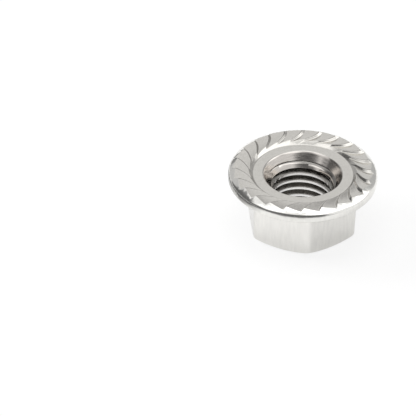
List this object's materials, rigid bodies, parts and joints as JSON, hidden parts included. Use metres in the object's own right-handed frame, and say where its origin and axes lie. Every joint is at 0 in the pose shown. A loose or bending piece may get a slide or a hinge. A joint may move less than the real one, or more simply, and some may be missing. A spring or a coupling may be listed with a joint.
{
  "type": "serrated flange nut",
  "caption": "Hexagon nut with a round flange whose bearing face carries a ring of curved ratchet serrations around a threaded hole.",
  "frame": {"origin": "centre of the hexagon's free end face, on the axis of the threaded hole", "axes": "+Z along the threaded hole from the hexagon's end to the serrated face; -Y is 6.6 degrees from a corner of the hexagon"},
  "size_m": [0.0342, 0.0342, 0.0156],
  "materials": {
    "steel": "bright satin stainless steel"
  },
  "bodies": {
    "root": {"flange_nut": "steel"}
  },
  "joints": []
}
